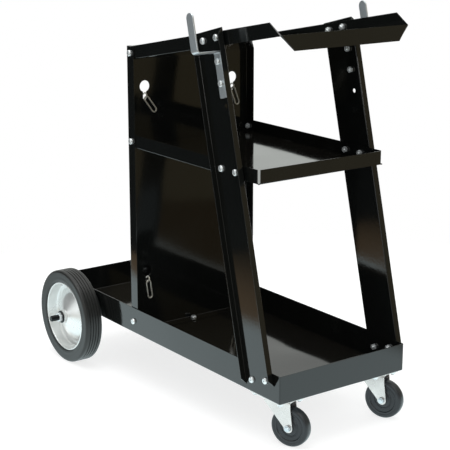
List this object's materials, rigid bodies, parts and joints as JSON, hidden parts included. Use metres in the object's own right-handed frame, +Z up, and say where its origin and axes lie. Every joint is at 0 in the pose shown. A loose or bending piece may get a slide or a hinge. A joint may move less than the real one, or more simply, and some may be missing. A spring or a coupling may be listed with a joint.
{
  "type": "welding cart",
  "caption": "Folded sheet-steel welding cart with a cylinder bay behind a cross panel, a middle shelf, a sloping top shelf on leaning uprights, cable hooks, rear wheels and swivel casters.",
  "frame": {"origin": "on the floor, under the middle of the part's bounding box", "axes": "+X forward towards the casters and the front lip of the top shelf, +Y to the cart's left along the rear axle, +Z up from the floor. The tray slopes 1.6 degrees down to the front."},
  "size_m": [0.8178, 0.452, 0.7853],
  "materials": {
    "black_enamel": "gloss enamel",
    "zinc": "zinc plate",
    "bright_zinc": "bright zinc plate",
    "chain_steel": "zinc plate",
    "tyre_rubber": "moulded rubber",
    "caster_rubber": "hard moulded rubber",
    "black_steel": "black oxide",
    "nylon": "moulded"
  },
  "bodies": {
    "frame": {"base_tray": "black_enamel", "rear_panel": "black_enamel", "middle_shelf": "black_enamel", "top_shelf": "black_enamel", "panel_floor_bolt": "zinc", "upper_chain": "chain_steel", "lower_chain": "chain_steel", "rear_axle": "black_steel", "right_axle_washer": "black_steel", "left_axle_washer": "black_steel", "right_upright": "black_enamel", "right_axle_bracket": "black_enamel", "right_cable_hook": "zinc", "right_axle_nut": "zinc", "right_axle_collar": "zinc", "right_caster_plate": "bright_zinc", "right_caster_swivel_race": "bright_zinc", "right_foot_bolt_rear": "zinc", "right_foot_bolt_front": "zinc", "right_shelf_bolt_rear": "zinc", "right_shelf_bolt_front": "zinc", "right_top_shelf_bolt_rear": "zinc", "right_top_shelf_bolt_front": "zinc", "right_hook_bolt_lower": "zinc", "right_hook_bolt_upper": "zinc", "right_panel_tray_bolt": "zinc", "right_panel_shelf_bolt": "zinc", "right_panel_top_shelf_bolt": "zinc", "left_upright": "black_enamel", "left_axle_bracket": "black_enamel", "left_cable_hook": "zinc", "left_axle_nut": "zinc", "left_axle_collar": "zinc", "left_caster_plate": "bright_zinc", "left_caster_swivel_race": "bright_zinc", "left_foot_bolt_rear": "zinc", "left_foot_bolt_front": "zinc", "left_shelf_bolt_rear": "zinc", "left_shelf_bolt_front": "zinc", "left_top_shelf_bolt_rear": "zinc", "left_top_shelf_bolt_front": "zinc", "left_hook_bolt_lower": "zinc", "left_hook_bolt_upper": "zinc", "left_panel_tray_bolt": "zinc", "left_panel_shelf_bolt": "zinc", "left_panel_top_shelf_bolt": "zinc"},
    "right_rear_wheel": {"right_tyre": "tyre_rubber", "right_rim": "bright_zinc", "right_hub_bush": "nylon"},
    "right_caster_swivel": {"right_caster_fork": "bright_zinc", "right_caster_axle": "zinc"},
    "right_caster_roller": {"right_caster_wheel": "caster_rubber", "right_caster_bush": "nylon"},
    "left_rear_wheel": {"left_tyre": "tyre_rubber", "left_rim": "bright_zinc", "left_hub_bush": "nylon"},
    "left_caster_swivel": {"left_caster_fork": "bright_zinc", "left_caster_axle": "zinc"},
    "left_caster_roller": {"left_caster_wheel": "caster_rubber", "left_caster_bush": "nylon"}
  },
  "joints": [
    {"name": "right_wheel_roll", "type": "hinge", "parent": "frame", "child": "right_rear_wheel", "pos_m": [-0.30739, -0.1755, 0.10164], "axis": [0, 1, 0], "continuous": true},
    {"name": "right_caster_turn", "type": "hinge", "parent": "frame", "child": "right_caster_swivel", "pos_m": [0.34647, -0.115, 0.09799], "axis": [0.0284, 0, 0.9996], "continuous": true},
    {"name": "right_caster_roll", "type": "hinge", "parent": "right_caster_swivel", "child": "right_caster_roller", "pos_m": [0.37194, -0.10347, 0.03814], "axis": [-0.3906, 0.9205, 0.0111], "continuous": true},
    {"name": "left_wheel_roll", "type": "hinge", "parent": "frame", "child": "left_rear_wheel", "pos_m": [-0.30739, 0.1755, 0.10164], "axis": [0, 1, 0], "continuous": true},
    {"name": "left_caster_turn", "type": "hinge", "parent": "frame", "child": "left_caster_swivel", "pos_m": [0.34647, 0.115, 0.09799], "axis": [0.0284, 0, 0.9996], "continuous": true},
    {"name": "left_caster_roll", "type": "hinge", "parent": "left_caster_swivel", "child": "left_caster_roller", "pos_m": [0.37194, 0.12653, 0.03814], "axis": [-0.3906, 0.9205, 0.0111], "continuous": true}
  ]
}
